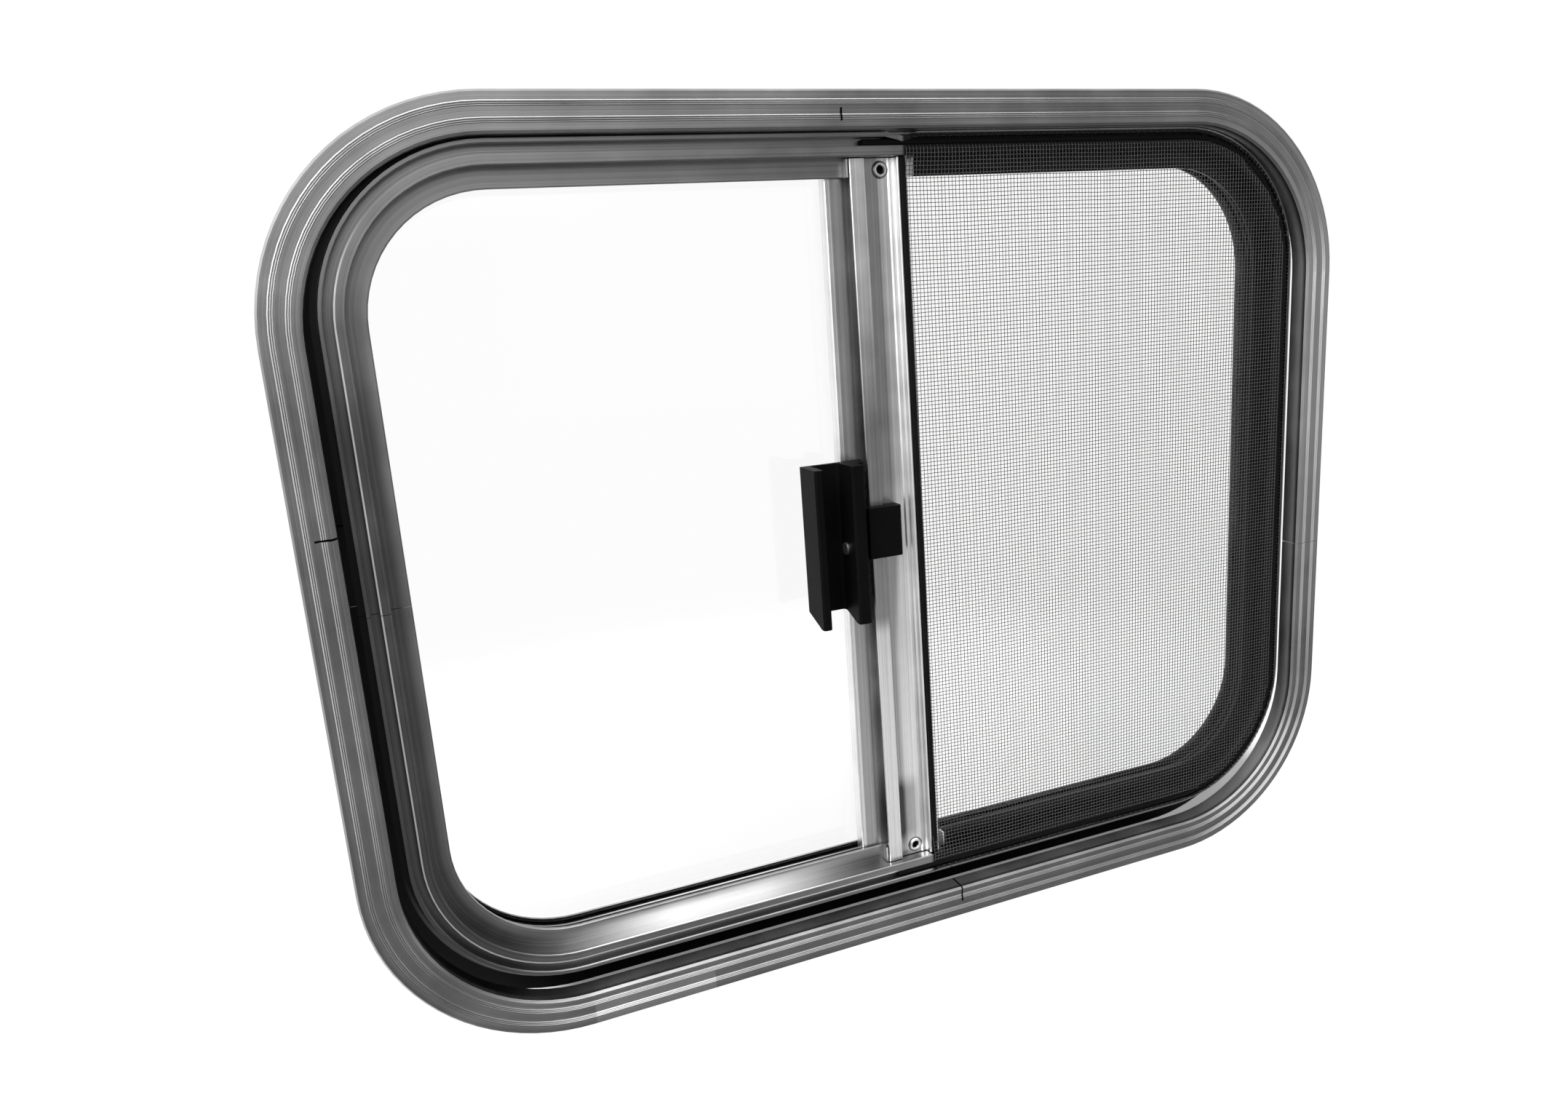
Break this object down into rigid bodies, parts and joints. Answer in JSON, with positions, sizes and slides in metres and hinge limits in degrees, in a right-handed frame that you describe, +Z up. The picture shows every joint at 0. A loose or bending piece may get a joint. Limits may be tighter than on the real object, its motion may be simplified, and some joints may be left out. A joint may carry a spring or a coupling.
{
  "type": "half slider window",
  "caption": "Radius-corner aluminium half slider window for a vehicle or boat wall, with clamp ring, fixed glass, sliding glass, insect screen and latch.",
  "frame": {"origin": "on the wall face of the outer flange, at the middle of its bottom run", "axes": "+Z up, +Y out of the vehicle, -Y towards the inside from which the latch is worked, +X to the right seen from inside"},
  "size_m": [0.4604, 0.0313, 0.3618],
  "materials": {
    "mill_aluminium": "bare extrusion with fine lengthwise lines",
    "rivet_aluminium": "smooth",
    "clear_glass": "clear",
    "black_rubber": "matt",
    "black_plastic": "fine moulded grain",
    "screen_cloth": "woven coated threads"
  },
  "bodies": {
    "root": {"main_frame": "mill_aluminium", "clamp_ring": "mill_aluminium", "sash_run_channel": "black_rubber", "fixed_glass_channel": "black_rubber", "fixed_glass": "clear_glass", "division_bar": "mill_aluminium", "sash_glass": "clear_glass", "sash_stile": "mill_aluminium", "stile_pile_seal": "black_rubber", "centre_mullion": "mill_aluminium", "mullion_top_rivet": "rivet_aluminium", "mullion_bottom_rivet": "rivet_aluminium", "mullion_top_foot": "mill_aluminium", "mullion_bottom_foot": "mill_aluminium", "screen_mesh": "screen_cloth", "screen_spline": "black_rubber", "mullion_spline": "black_rubber", "latch_grip": "black_plastic", "latch_base": "black_plastic", "latch_catch": "black_plastic", "latch_screw": "rivet_aluminium"}
  },
  "joints": []
}
